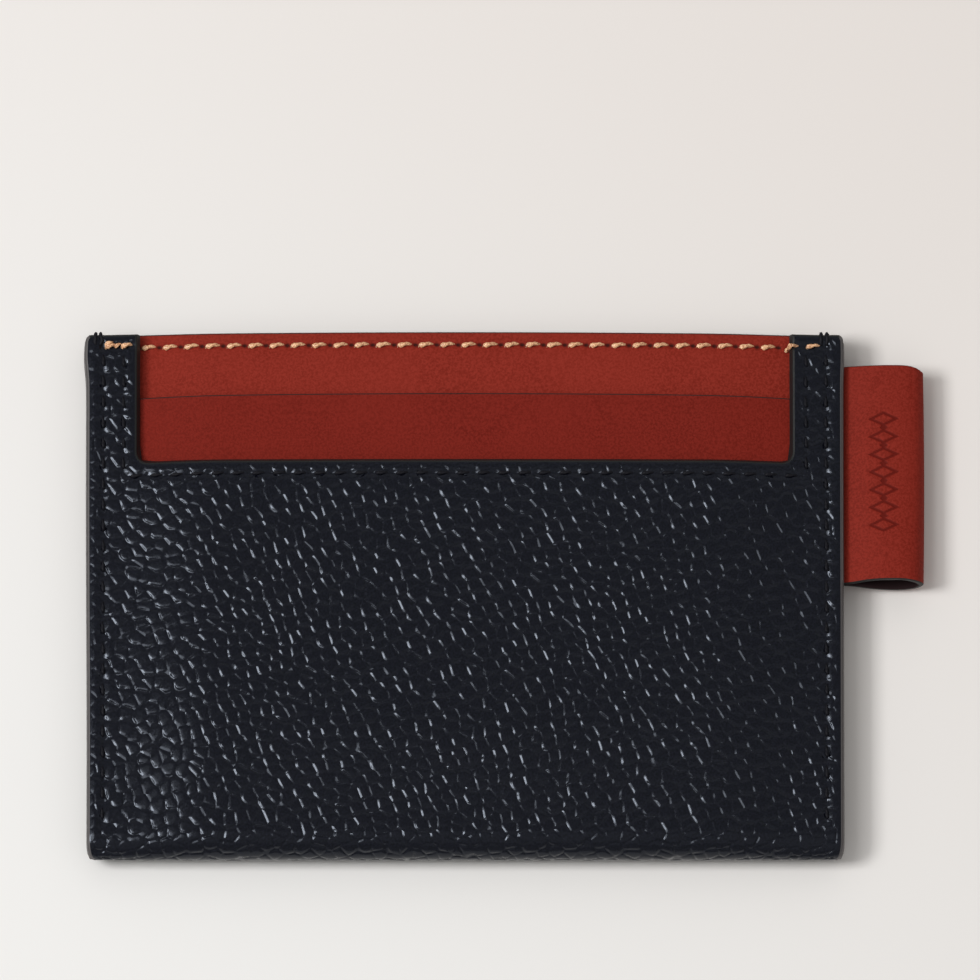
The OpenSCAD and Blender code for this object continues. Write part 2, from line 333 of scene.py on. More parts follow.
relief = np.concatenate([relief.ravel(), np.zeros(plain)])
mark_points(outer, "hide", (flat_map / PEBBLE)[used])
mark_points(outer, "relief", relief[used])


class Nodes:
    """Short names for the nodes of one tree."""

    def __init__(self, tree):
        self.tree = tree

    def link(self, out, into):
        self.tree.links.new(out, into)

    def node(self, kind, inputs=(), **settings):
        made = self.tree.nodes.new(kind)
        for key, value in settings.items():
            setattr(made, key, value)
        for socket, value in dict(inputs).items():
            if hasattr(value, "links"):
                self.link(value, made.inputs[socket])
            else:
                made.inputs[socket].default_value = value
        return made

    def attribute(self, name, output):
        return self.node("ShaderNodeAttribute", attribute_name=name).outputs[output]

    def place(self):
        return self.node("ShaderNodeTexCoord").outputs["Object"]

    def noise(self, vector, scale, detail=4.0, rough=0.55):
        inputs = {"Vector": vector, "Scale": scale, "Detail": detail, "Roughness": rough}
        return self.node("ShaderNodeTexNoise", inputs).outputs["Fac"]

    def ramp(self, value, low, high, to_low=0.0, to_high=1.0, shape="SMOOTHSTEP"):
        inputs = {"Value": value, "From Min": low, "From Max": high}
        inputs |= {"To Min": to_low, "To Max": to_high}
        return self.node("ShaderNodeMapRange", inputs, interpolation_type=shape).outputs["Result"]

    def math(self, operation, *values):
        made = self.node("ShaderNodeMath", enumerate(values), operation=operation)
        return made.outputs["Value"]

    def mix(self, factor, a, b):
        colours = {"Factor": factor, 6: a, 7: b}
        return self.node("ShaderNodeMix", colours, data_type="RGBA").outputs[2]

    def bump(self, height, distance, strength=1.0, under=None):
        inputs = {"Height": height, "Distance": distance, "Strength": strength}
        if under is not None:
            inputs["Normal"] = under
        return self.node("ShaderNodeBump", inputs).outputs["Normal"]


class Effect(Nodes):
    """A surface effect that several materials share, as one group of nodes."""

    def __init__(self, name, takes, gives):
        super().__init__(bpy.data.node_groups.new(name, "ShaderNodeTree"))
        for way, sockets in (("INPUT", takes), ("OUTPUT", gives)):
            for socket, kind in sockets.items():
                kind = "NodeSocket" + kind
                self.tree.interface.new_socket(socket, in_out=way, socket_type=kind)
        self.taken = self.node("NodeGroupInput").outputs
        self.given = self.node("NodeGroupOutput").inputs

    def give(self, socket, out):
        self.link(out, self.given[socket])


class Finish(Nodes):
    """One material and its Principled shader."""

    def __init__(self, name, colour, roughness, **sockets):
        self.material = bpy.data.materials.new(name)
        self.material.use_nodes = True
        super().__init__(self.material.node_tree)
        self.shader = self.tree.nodes["Principled BSDF"]
        self.set("Base Color", (*colour, 1))
        self.set("Roughness", roughness)
        for socket, value in sockets.items():
            self.set(socket.replace("_", " "), value)

    def set(self, socket, value):
        self.shader.inputs[socket].default_value = value

    def drive(self, socket, out):
        self.link(out, self.shader.inputs[socket])

    def use(self, effect, inputs):
        return self.node("ShaderNodeGroup", inputs, node_tree=effect.tree).outputs


def pebble_rise(nodes, hide):
    """Height of the pebble grain, near 0 in the valleys and 1 on the flat tops. A
    cell's own edges bound each pebble, a circle about its middle rounds the corners,
    and the plate bites unevenly, so some valleys stay shallow."""
    spread = {"Vector": hide, "Scale": 1.0, "Randomness": 0.7}
    away = {}
    for feature in ("F1", "DISTANCE_TO_EDGE"):
        kind = {"voronoi_dimensions": "2D", "feature": feature}
        cells = nodes.node("ShaderNodeTexVoronoi", spread, **kind)
        away[feature] = cells.outputs["Distance"]
    circle = nodes.math("SUBTRACT", 0.66, away["F1"])
    least = nodes.math("SMOOTH_MIN", away["DISTANCE_TO_EDGE"], circle, 0.08)
    rise = nodes.ramp(least, -0.06, 0.19)
    patches = {"Vector": hide, "Scale": 1.15, "Detail": 0.0}
    uneven = nodes.node("ShaderNodeTexNoise", patches, noise_dimensions="2D").outputs["Fac"]
    bite = nodes.ramp(uneven, 0.36, 0.62, 0.4, 1.15, "LINEAR")
    return nodes.math("MULTIPLY_ADD", nodes.math("SUBTRACT", rise, 1.0), bite, 1.0)


def emboss(piece):
    """Presses the pebble grain into the mesh itself."""
    tree = bpy.data.node_groups.new("pebble emboss", "GeometryNodeTree")
    for way in ("INPUT", "OUTPUT"):
        tree.interface.new_socket("Geometry", in_out=way, socket_type="NodeSocketGeometry")
    press = Nodes(tree)
    stored = "GeometryNodeInputNamedAttribute"
    hide = press.node(stored, {"Name": "hide"}, data_type="FLOAT_VECTOR").outputs["Attribute"]
    relief = press.node(stored, {"Name": "relief"}, data_type="FLOAT").outputs["Attribute"]
    sunk = press.math("MULTIPLY_ADD", pebble_rise(press, hide), GRAIN_DEPTH, -GRAIN_DEPTH)
    shift = {0: press.node("GeometryNodeInputNormal").outputs["Normal"]}
    shift["Scale"] = press.math("MULTIPLY", sunk, relief)
    offset = press.node("ShaderNodeVectorMath", shift, operation="SCALE").outputs["Vector"]
    hide_in = press.node("NodeGroupInput").outputs["Geometry"]
    moved = press.node("GeometryNodeSetPosition", {"Geometry": hide_in, "Offset": offset})
    press.link(moved.outputs["Geometry"], press.node("NodeGroupOutput").inputs["Geometry"])
    piece.modifiers.new("emboss", "NODES").node_group = tree
    shaped = piece.evaluated_get(bpy.context.evaluated_depsgraph_get())
    done = bpy.data.meshes.new_from_object(shaped)
    piece.modifiers.clear()
    piece.data = done


emboss(outer)
finish_mesh(outer, 50)


def pebbled_calf():
    """Navy-black corrected grain: glossy pebble shoulders, fine pores in the tops."""
    calf = Finish("pebbled_calf", (0.0027, 0.003, 0.008), 0.24, Specular_IOR_Level=0.31)
    calf.set("Specular Tint", (0.78, 0.86, 1.0, 1))
    hide, relief = calf.attribute("hide", "Vector"), calf.attribute("relief", "Fac")
    pores = calf.noise(hide, 6.5, 4.0, 0.75)
    black, blue_black = (0.0001, 0.0002, 0.001, 1), (0.0052, 0.0055, 0.0105, 1)
    calf.drive("Base Color", calf.mix(calf.ramp(pores, 0.35, 0.65), black, blue_black))
    calf.drive("Roughness", calf.ramp(pores, 0.3, 0.7, 0.14, 0.2))
    crisp = calf.bump(calf.math("MULTIPLY", pebble_rise(calf, hide), relief), 0.085 * MM)
    calf.drive("Normal", calf.bump(calf.math("MULTIPLY", pores, relief), 0.004 * MM, 1.0, crisp))
    return calf.material


nap = Effect("fibrous nap", {"Place": "Vector"}, {"Normal": "Vector"})
nap.give("Normal", nap.bump(nap.noise(nap.taken["Place"], 4200.0, 3.0), 0.03 * MM))


def flesh_side(name, colour):
    """The unfinished back of the leather: matt and slightly fibrous."""
    flesh = Finish(name, colour, 0.85, Specular_IOR_Level=0.15)
    flesh.drive("Normal", flesh.use(nap, {"Place": flesh.place()})["Normal"])
    return flesh.material


# Several coats of flexible paint, rubbed down between coats, so a little wavy.
rubbed = Effect(
    "rubbed coats",
    {"Place": "Vector", "Sheen": "Float"},
    {"Roughness": "Float", "Normal": "Vector"},
)
wave = rubbed.noise(rubbed.taken["Place"], 900.0, 2.0)
rubbed.give("Normal", rubbed.bump(wave, 0.04 * MM))
uneven_sheen = rubbed.math("MULTIPLY", rubbed.math("SUBTRACT", wave, 0.4), 0.4)
rubbed.give("Roughness", rubbed.math("ADD", uneven_sheen, rubbed.taken["Sheen"]))


def edge_paint(name, colour, roughness=0.45, level=0.3):
    paint = Finish(name, colour, roughness, Specular_IOR_Level=level)
    used = paint.use(rubbed, {"Place": paint.place(), "Sheen": roughness})
    paint.drive("Normal", used["Normal"])
    paint.drive("Roughness", used["Roughness"])
    return paint.material


flesh_leather = flesh_side("flesh_side", (0.03, 0.022, 0.024))
dark_paint = edge_paint("dark_edge_paint", (0.007, 0.008, 0.008))
# The side paint is a lighter copy of the edge paint: painted light on the side edges.
lit_side_paint = edge_paint("lit_side_edge_paint", (0.075, 0.068, 0.068), 0.5, 0.5)
for material in (pebbled_calf(), flesh_leather, dark_paint, lit_side_paint):
    outer.data.materials.append(material)
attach(outer, "holder")
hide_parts("outer_shell")

# ---------------------------------------------------------------------------
# The linings. Three pieces of thin dark twill, glued to the leather before
# sewing: behind the front, behind the upper slot panel, and inside the back.
# ---------------------------------------------------------------------------

LINING = 0.2 * MM
PANEL = 0.6 * MM
GLUE = 0.01 * MM
LINING_INSET = 0.55 * MM  # the linings stop short of the painted sides
FOOT = 1.1 * MM  # how far the panels and their lining reach below the fold's middle
DEEP = 8 * MM  # the slots' mouths start to open at this height


def mouth(y, start):
    """0 deep in the pocket, 1 at the open top."""
    return smooth((y - start) / (TOP - 4 * MM - start))


def cloth_ply(name, node, cut_u, height, foot):
    """One lining, from its foot to just below the top; height(x, y) is its upper side."""
    edge, cut_x, cut_y = SIDE - LINING_INSET, U_HALF + 0.1 * MM, U_LOW - 0.1 * MM
    close = (0.2 * MM, 0.5 * MM)
    lines, _ = ruled(-edge, edge, 1.2 * MM, (-cut_x, cut_x), close=close)
    rungs, _ = ruled(foot, TOP - 0.12 * MM, 1.2 * MM, (cut_y,), close=close)
    lx, ly = np.meshgrid(lines, rungs[::-1])
    z = height(lx, ly)
    px, py = lx, ly
    for sx in (-1, 1):
        px, py = round_outside(px, py, sx * SIDE, TOP)
        if cut_u:
            px, py = round_inside(px, py, sx * cut_x, cut_y)
    top_side, low_side = np.stack([px, py, z], -1), np.stack([px, py, z - LINING], -1)
    mid_x, mid_y = (lines[1:] + lines[:-1]) / 2, (rungs[::-1][1:] + rungs[::-1][:-1]) / 2
    cells = np.ones((len(mid_y), len(mid_x)), bool)
    if cut_u:
        cells = ~((np.abs(mid_x)[None, :] < U_HALF) & (mid_y[:, None] > cut_y))
    piece, _ = ply_mesh(name, top_side, low_side, cells, np.zeros_like(cells))
    finish_mesh(piece)
    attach(piece, "holder")
    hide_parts(node)
    return piece


def upper_height(x, y):
    """Front face of the upper slot panel; its mouth springs open a little."""
    sewn, level = MID + 0.1 * MM, 2.85 * MM
    lift = 0.55 * MM + (0.35 + 0.7 * (1 - (x / U_HALF) ** 2).clip(0)) * MM * mouth(y, DEEP)
    return sewn + (level + lift - sewn) * opened(x)


def lower_height(x, y):
    """Front face of the lower slot panel."""
    sewn, level = MID + 0.7 * MM, 4.3 * MM
    lift = 0.25 * MM + (0.25 + 0.35 * (1 - (x / U_HALF) ** 2).clip(0)) * MM * mouth(y, DEEP)
    return sewn + (level + lift - sewn) * opened(x)


def front_lining_height(x, y):
    return front_height(x, y) - OUTER - GLUE


def pocket_lining_height(x, y):
    return upper_height(x, y) - PANEL - GLUE


def back_lining_height(x, y):
    return MID - half_thickness(x) + OUTER + LINING + GLUE


front_lining = cloth_ply("front_lining_cloth", "front_lining", True, front_lining_height, FOLD_Y)
pocket_lining = cloth_ply(
    "pocket_lining_cloth", "pocket_lining", False, pocket_lining_height, FOLD_Y - FOOT
)
back_lining = cloth_ply("back_lining_cloth", "back_lining", False, back_lining_height, FOLD_Y)


def lining_twill():
    """Fine polyester twill: diagonal ribs about 0.3 mm apart."""
    twill = Finish("lining_twill", (0.035, 0.024, 0.024), 0.75, Sheen_Weight=0.25, Sheen_Roughness=0.4)
    slope = {"Vector": twill.place(), "Rotation": (0, 0, 0.9)}
    waves = {"Vector": twill.node("ShaderNodeMapping", slope).outputs["Vector"]}
    waves |= {"Scale": 1050.0, "Distortion": 0.6, "Detail": 1.0}
    ribs = twill.node("ShaderNodeTexWave", waves).outputs["Fac"]
    twill.drive("Base Color", twill.mix(ribs, (0.02, 0.014, 0.014, 1), (0.05, 0.034, 0.033, 1)))
    twill.drive("Normal", twill.bump(ribs, 0.04 * MM))
    return twill.material


twill = lining_twill()
full = TOP - FOLD_Y
for cloth, depth in ((front_lining, full), (pocket_lining, full + FOOT), (back_lining, full)):
    for _ in range(3):
        cloth.data.materials.append(twill)

# ---------------------------------------------------------------------------
# The slot panels. Smooth vegetable-tanned calf, pared to 0.6 mm, brick red with
# a hand-rubbed tone. Their top edges are painted dark. The lower one steps
# down 8.6 mm, and its ears run up under the front's arms.
# ---------------------------------------------------------------------------

LOWER_TOP = TOP - 8.6 * MM
EAR = U_HALF + 1.3 * MM
PANEL_SIDE = SIDE - 0.5 * MM
LIP = 0.16 * MM
MOUTH = 9 * MM  # the mouths stand up over this depth


def between_arms(x):
    """1 in the middle of the holder, 0 under the arms."""
    return np.clip(1 - (x / (U_HALF + 0.6 * MM)) ** 2, 0, None)


def lower_bow(x, y):
    """How far the lower panel's mouth stands up between the arms."""
    return 0.55 * MM * between_arms(x) ** 0.6 * smooth((y - LOWER_TOP + MOUTH) / MOUTH) * (np.abs(x) < EAR)


def upper_bow(x, y):
    """How far the upper panel's mouth stands up between the arms."""
    span = between_arms(x)
    return (0.32 + 0.2 * span**0.5) * MM * (span > 0) * smooth((y - TOP + MOUTH) / MOUTH)


def red_panel(name, node, height, top_edge, bow, ears):
    """One slot panel. With ears, it is cut down to top_edge between them; without,
    its top edge is pierced and drawn in by the tan row."""
    marks = (-EAR, EAR) if ears else (-U_HALF, U_HALF)
    step = (0.7 if ears else 0.22) * MM
    lines, few = ruled(-PANEL_SIDE, PANEL_SIDE, step, marks, close=(0.1 * MM, 0.3 * MM))
    knots = (top_edge,) if ears else (TOP_SEAM_Y,)
    close = (0.08 * MM, 0.18 * MM, 0.32 * MM)
    rungs, few_rungs = ruled(FOLD_Y - FOOT, TOP, 0.7 * MM, knots, close=close)
    lx, ly = np.meshgrid(lines, rungs[::-1])
    hole = np.zeros_like(lx)
    cut = np.where(np.abs(lx) < EAR, top_edge - ly, TOP - ly)
    near = np.clip(LIP - np.abs(cut), 0, LIP)
    ease = LIP - np.sqrt(LIP**2 - near**2)
    z = height(lx, ly)
    under = z - PANEL + ease
    if not ears:
        pitch = (TOP_SEAM[1] - TOP_SEAM[0]) / TOP_HOLES
        away = lx + 0.12 * MM - TOP_SEAM[0]
        away -= np.clip(np.round(away / pitch), 0, TOP_HOLES) * pitch
        # The same mask dents each hole and darkens its colour: painted shade in the holes.
        hole = np.exp(-((away / (0.4 * MM)) ** 2) - ((ly - TOP_SEAM_Y + 0.1 * MM) / (0.25 * MM)) ** 2)
        row_y = ly - TOP_SEAM_Y + 0.12 * MM
        z = z - seam_pull(lx, row_y, TOP_SEAM, TOP_HOLES, 0.1 * MM, 0.0) - 0.2 * MM * hole
    px, py = lx, ly + bow(lx, ly)
    for sx in (-1, 1):
        px, py = round_outside(px, py, sx * PANEL_SIDE, TOP)
    face, flesh = np.stack([px, py, z - ease], -1), np.stack([px, py, under], -1)
    mid_x, mid_y = (lines[1:] + lines[:-1]) / 2, (rungs[::-1][1:] + rungs[::-1][:-1]) / 2
    cells = np.ones((len(mid_y), len(mid_x)), bool)
    if ears:
        cells = ~((np.abs(mid_x)[None, :] < EAR) & (mid_y[:, None] > top_edge))
    paint = (np.abs(mid_y - top_edge) < 0.17 * MM)[:, None] & (np.abs(mid_x) < EAR)[None, :]
    few_rungs = len(rungs) - 1 - few_rungs[::-1]
    piece, used = ply_mesh(name, face, flesh, cells, paint, few_rungs, few)
    hole = np.concatenate([hole.ravel(), np.zeros(len(few) * len(few_rungs))])
    mark_points(piece, "hole", hole[used])
    finish_mesh(piece, 60)
    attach(piece, "holder")
    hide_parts(node)
    return piece


lower_panel = red_panel(
    "lower_slot_leather", "lower_slot_panel", lower_height, LOWER_TOP, lower_bow, True
)
upper_panel = red_panel(
    "upper_slot_leather", "upper_slot_panel", upper_height, TOP, upper_bow, False
)

# Smooth calf: fine follicles and a cloudy hand-rubbed tone under a satin wax.
calf_grain = Effect(
    "smooth calf grain",
    {"Place": "Vector", "Low": "Color", "High": "Color", "Speck": "Color"},
    {"Colour": "Color", "Roughness": "Float", "Normal": "Vector"},
)
skin = calf_grain.taken["Place"]
grain = calf_grain.noise(skin, 3300.0, 3.0, 0.7)
cloud = calf_grain.ramp(calf_grain.noise(skin, 95.0, 3.0, 0.6), 0.3, 0.7)
rubbed_tone = calf_grain.mix(cloud, calf_grain.taken["Low"], calf_grain.taken["High"])
specks = calf_grain.math("MULTIPLY", calf_grain.ramp(grain, 0.36, 0.62), 0.85)
calf_grain.give("Colour", calf_grain.mix(specks, rubbed_tone, calf_grain.taken["Speck"]))
calf_grain.give("Roughness", calf_grain.ramp(grain, 0.3, 0.7, 0.52, 0.68))
follicles = calf_grain.node("ShaderNodeTexVoronoi", {"Vector": skin, "Scale": 3300.0})
pricks = calf_grain.ramp(follicles.outputs["Distance"], 0.0, 0.35)
coarse = calf_grain.bump(grain, 0.06 * MM)
calf_grain.give("Normal", calf_grain.bump(pricks, 0.01 * MM, 0.5, coarse))


def smooth_calf(name, depth, mark, marked):
    """Brick-red calf; depth under 1 is a darker dye lot. mark is the attribute of
    the mesh that says where it is pierced or pressed, marked its colour there:
    painted shade in the needle holes, the darker pressed tone in the lozenges."""
    red = Finish(name, (0.22, 0.015, 0.006), 0.6, Specular_IOR_Level=0.07)
    deep = depth**1.7
    tones = {
        "Low": (0.175 * depth, 0.0135 * deep, 0.0065 * deep, 1),
        "High": (0.21 * depth, 0.018 * deep, 0.0095 * deep, 1),
        "Speck": (0.27 * depth, 0.028 * deep, 0.017 * deep, 1),
    }
    used = red.use(calf_grain, {"Place": red.place(), **tones})
    hole_shade_or_press = red.ramp(red.attribute(mark, "Fac"), 0.05, 0.85)
    red.drive("Base Color", red.mix(hole_shade_or_press, used["Colour"], (*marked, 1)))
    red.drive("Roughness", used["Roughness"])
    red.drive("Normal", used["Normal"])
    return red.material


# Dark brown at the needle holes of the upper panel: painted shade in the holes.
HOLE_SHADE = (0.042, 0.008, 0.006)
red_calf = smooth_calf("smooth_red_calf", 1.0, "hole", HOLE_SHADE)
deep_red_calf = smooth_calf("deep_red_calf", 0.77, "hole", HOLE_SHADE)
wine_paint = edge_paint("wine_edge_paint", (0.03, 0.009, 0.008))
for panel, calf in ((lower_panel, deep_red_calf), (upper_panel, red_calf)):
    for material in (calf, flesh_leather, wine_paint):
        panel.data.materials.append(material)

# ---------------------------------------------------------------------------
# The loop tab. One strip of the red leather, doubled over and caught in the
# right seam by its pared ends. Outside the seam it opens into a soft loop. A
# row of plain lozenges is pressed blind into its front.
# ---------------------------------------------------------------------------

tab_low, tab_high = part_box("loop_tab")
STRIP = 0.88 * MM
STRIP_Y = (tab_low[1] - 0.17 * MM, tab_high[1] + 0.14 * MM)
STRIP_LIP = 0.26 * MM
MARK_X, MARK_Y = 55.3 * MM, 16.9 * MM
MARK_STEP, MARK_DEPTH = 1.22 * MM, 0.1 * MM


def smooth_curve(points, count):
    """A Catmull-Rom curve through the points, at even steps along its length."""
    p = np.array(points, float)
    p = np.concatenate([[2 * p[0] - p[1]], p, [2 * p[-1] - p[-2]]])
    fine = []
    for a, b, c, d in zip(p, p[1:], p[2:], p[3:]):
        t = np.linspace(0, 1, 24, endpoint=False)[:, None]
        square, cube = 2 * a - 5 * b + 4 * c - d, 3 * b - a - 3 * c + d
        fine.append(0.5 * (2 * b + (c - a) * t + square * t**2 + cube * t**3))
    fine = np.concatenate([*fine, [p[-2]]])
    length = np.concatenate([[0], np.cumsum(np.linalg.norm(np.diff(fine, axis=0), axis=1))])
    even = np.linspace(0, length[-1], count)
    return np.stack([np.interp(even, length, fine[:, k]) for k in range(fine.shape[1])], -1), even


def loop_route():
    """The middle of the strip's thickness, from the seam round the loop and back:
    x, and height above the middle of the seam, in millimetres."""
    out = [(47.1, 0.31), (49.0, 0.31), (50.4, 0.36), (51.7, 0.68), (53.3, 1.12), (55.6, 1.4)]
    turn = [(57.7, 1.38), (59.25, 1.02), (60.03, 0.2), (59.97, -0.55), (59.2, -1.25)]
    home = [(57.4, -1.6), (55.4, -1.5), (53.2, -1.05), (51.6, -0.6), (50.4, -0.36)]
    home += [(49.0, -0.31), (47.1, -0.31)]
    return [(x * MM, MID + z * MM) for x, z in out + turn + home]


def lozenges(px, w):
    """1 where the tab is pressed: outlined lozenges in a row with small links."""
    pressed = np.zeros_like(w)
    for k in range(-6, 7):
        large = k % 2 == 0
        wide, tall = (2.0, 0.98) if large else (0.55, 0.45)
        u = np.abs(px - MARK_X) / (wide * MM) + np.abs(w - MARK_Y - k * MARK_STEP) / (tall * MM)
        ring = smooth((1.12 - u) / 0.2)
        if large:
            ring = ring * (1 - smooth((0.74 - u) / 0.2))
        pressed = np.maximum(pressed, ring)
    return pressed


def loop_strip():
    """The strip as one ply: across its width, and along the loop's route."""
    line, along = smooth_curve(loop_route(), 190)
    step = np.gradient(line, axis=0)
    step /= np.linalg.norm(step, axis=1)[:, None]
    outward = np.stack([-step[:, 1], step[:, 0]], -1)
    pared = [SIDE - 0.6 * MM, SIDE + 1.2 * MM]
    half = np.interp(line[:, 0], pared, [0.3 * MM, STRIP / 2])[:, None, None]
    widths, _ = ruled(*STRIP_Y, 0.16 * MM, close=(0.05 * MM, 0.13 * MM, 0.26 * MM))
    mid_s = along[-1] / 2
    W, A = np.meshgrid(widths, along)
    px = line[:, 0][:, None] + 0 * W

    # The cut edges: eased, drawn in a little at the turn, waisted lower down.
    centre_y = (STRIP_Y[0] + STRIP_Y[1]) / 2
    upper = (W - centre_y) / (STRIP_Y[1] - centre_y)
    tip = np.exp(-(((A - mid_s) / (1.5 * MM)) ** 2))
    arch = smooth((px - SIDE - 0.2 * MM) / (5 * MM)) * smooth((SIDE + 10.4 * MM - px) / (3 * MM))
    w = W - tip * 0.62 * MM * np.clip(upper, 0, 1) ** 6
    w = w + np.where(A < mid_s, 0.22 * MM, -0.12 * MM) * arch * np.clip(-upper, 0, 1) ** 3
    near = np.clip(STRIP_LIP - np.minimum(W - STRIP_Y[0], STRIP_Y[1] - W), 0, STRIP_LIP)
    ease = np.minimum((STRIP_LIP - np.sqrt(STRIP_LIP**2 - near**2))[..., None], half * 0.8)

    # The loop gapes more towards its lower end, and bulges in the middle.
    gape = 1 + (0.03 - 0.21 * upper) * smooth((line[:, 0][:, None] - SIDE) / (3 * MM))
    pz = MID + (line[:, 1][:, None] - MID) * gape
    bulge = 0.12 * MM * np.sin((W - STRIP_Y[0]) / (STRIP_Y[1] - STRIP_Y[0]) * math.pi)
    bulge = bulge * smooth((px - SIDE) / (5 * MM))
    normal = np.stack([outward[:, 0][:, None] + 0 * W, 0 * W, outward[:, 1][:, None] + 0 * W], -1)
    core = np.stack([px + bulge * np.abs(outward[:, 0])[:, None], w, pz], -1)

    on_top = (A < mid_s) & (px > SIDE + 1.0 * MM)
    pressed = np.where(on_top, lozenges(px, W), 0)
    face = core + normal * (half - ease - MARK_DEPTH * pressed[..., None])
    flesh = core - normal * (half - ease)
    cells = np.ones((W.shape[0] - 1, W.shape[1] - 1), bool)
    mid_w = (widths[1:] + widths[:-1]) / 2
    paint = np.minimum(mid_w - STRIP_Y[0], STRIP_Y[1] - mid_w) < 0.1 * MM
    paint = np.tile(paint[::-1], (W.shape[0] - 1, 1))
    piece, used = ply_mesh("loop_tab_strip", face[:, ::-1], flesh[:, ::-1], cells, paint)
    mark = np.concatenate([pressed[:, ::-1].ravel(), np.zeros(W.size)])
    mark_points(piece, "pressed", mark[used])
    return piece


tab = loop_strip()
finish_mesh(tab, 60)

stamped_calf = smooth_calf("stamped_red_calf", 0.93, "pressed", (0.115, 0.0075, 0.004))
# The loop's flesh side is darker than the other flesh sides: painted shade in the loop's hollow.
shaded_loop_flesh = flesh_side("shaded_loop_flesh", (0.016, 0.007, 0.008))
loop_paint = edge_paint("loop_edge_paint", (0.014, 0.014, 0.013), 0.5)
for material in (stamped_calf, shaded_loop_flesh, loop_paint):
    tab.data.materials.append(material)
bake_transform(tab)
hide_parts("loop_tab", "tab_anchor")

# ---------------------------------------------------------------------------
# Edge paint on the sides. The stack of plies is trimmed flush, sanded and
# painted as one edge; beside the tab the paint runs over and under the strip.
# Its colour is lighter than the U's edge paint: painted light for the lamp and
# the board's bounce on the side edges.
# ---------------------------------------------------------------------------

COAT = 0.17 * MM
BITE = 0.4 * MM  # how far the bead reaches in behind the edge
RIM = 0.12 * MM  # bare leather left above and below the bead


def paint_bead(points_y, low, high, sign):
    """A thin rounded coat over a side edge, between two heights at each y."""
    rings = []
    arc = np.linspace(-1, 1, 9)
    for y, a, b in zip(points_y, low, high):
        over = np.clip(y - TOP + CORNER, 0, CORNER)
        edge = SIDE - (CORNER - math.sqrt(CORNER**2 - over**2)) - trim(sign, y)
        bulge = COAT * (1 - np.abs(arc) ** 2.6) - 0.05 * MM
        ring = [(sign * (edge + u), y, (a + b) / 2 + (b - a) / 2 * v) for u, v in zip(bulge, arc)]
        inner = sign * (edge - BITE)
        ring += [(inner, y, b - 0.1 * (b - a)), (inner, y, a + 0.1 * (b - a))]
        rings.append(ring)
    return rings


def rings_mesh(name, groups):
    """Closed tubes, each a list of rings of points."""
    points, faces = [], []
    for rings in groups:
        n, base = len(rings[0]), len(points)
        points += [tuple(p) for ring in rings for p in ring]
        for r in range(len(rings) - 1):
            for k in range(n):
                a, b = base + r * n + k, base + r * n + (k + 1) % n
                faces.append((a, b, b + n, a + n))
        faces.append(tuple(base + k for k in range(n))[::-1])
        faces.append(tuple(base + (len(rings) - 1) * n + k for k in range(n)))
    mesh = bpy.data.meshes.new(name)
    mesh.from_pydata(points, [], faces)
    mesh.polygons.foreach_set("use_smooth", [True] * len(faces))
    mesh.update()
    piece = bpy.data.objects.new(name, mesh)
    bpy.context.scene.collection.objects.link(piece)
    return piece


def side_paint(name, sign, gap):
    """The bead down one side, which parts round the strip where there is a gap."""

    def span(y0, y1, low=None, high=None):
        ys = np.linspace(y0, y1, max(2, int(abs(y1 - y0) / (0.7 * MM))))
        round_fold = np.clip(FOLD_Y - ys, 0, None) / (FOLD_R - 0.02 * MM)
        reach = (SEWN / 2 - RIM) * np.sqrt(np.clip(1 - round_fold**2, 0.02, 1))
        lo = MID - reach if low is None else np.full_like(ys, low)
        hi = MID + reach if high is None else np.full_like(ys, high)
        return paint_bead(ys, lo, hi, sign)

    end_y = outer_low[1] + 0.25 * MM
    start_y = TOP - 0.05 * MM
    if gap:
        over, under = STRIP_Y[1] + 0.1 * MM, STRIP_Y[0] - 0.1 * MM
        groups = [span(start_y, over), span(under, end_y)]
        groups.append(span(over, under, MID + 0.5 * MM, MID + SEWN / 2 - RIM))
        groups.append(span(over, under, MID - SEWN / 2 + RIM, MID - 0.5 * MM))
    else:
        groups = [span(start_y, end_y)]
    piece = rings_mesh(name, groups)
    if sign < 0:
        piece.data.flip_normals()
    finish_mesh(piece, 50)
    piece.data.materials.append(lit_side_paint)
    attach(piece, "holder")


side_paint("left_edge_paint", -1, False)
side_paint("right_edge_paint", 1, True)

# ---------------------------------------------------------------------------
# The threads. Bonded two-ply polyester, lockstitched: a needle thread on the
# face of each seam and a bobbin thread behind. Tan along the top, navy
# elsewhere. Each stitch rises from one hole and dives into the next.
# ---------------------------------------------------------------------------

THREAD = 0.23 * MM
PROUD, FLAT = 0.2 * MM, 0.06 * MM  # how far the tan and the navy needle threads stand off
STRAY = 0.03 * MM
NEEDLE_DROP = 0.12 * MM
rng = np.random.default_rng(7)


def strand(path, radius, sides=14, plies=2, twist=3.6):
    """Rings round a path, with the plies of the thread twisted along it."""
    path = np.asarray(path, float)
    radius = np.broadcast_to(radius, len(path))
    step = np.gradient(path, axis=0)
    step /= np.linalg.norm(step, axis=1)[:, None]
    side = np.cross(step, (0.13, 0.21, 0.97))
    bad = np.linalg.norm(side, axis=1) < 0.2
    side[bad] = np.cross(step[bad], (0.9, 0.3, 0.1))
    side /= np.linalg.norm(side, axis=1)[:, None]
    up = np.cross(side, step)
    length = np.concatenate([[0], np.cumsum(np.linalg.norm(np.diff(path, axis=0), axis=1))])
    angle = np.linspace(0, 2 * math.pi, sides, endpoint=False)
    taper = np.clip(np.minimum(length, length[-1] - length) / (0.35 * MM), 0, 1) ** 0.5 * 0.35 + 0.65
    rings = []
    for p, s, u, l, k, r in zip(path, side, up, length, taper, radius):
        lobes = r * k * (0.78 + 0.4 * np.abs(np.cos(plies / 2 * (angle - l / MM * twist))))
        rings.append(p + np.outer(np.cos(angle) * lobes, s) + np.outer(np.sin(angle) * lobes, u))
    return rings


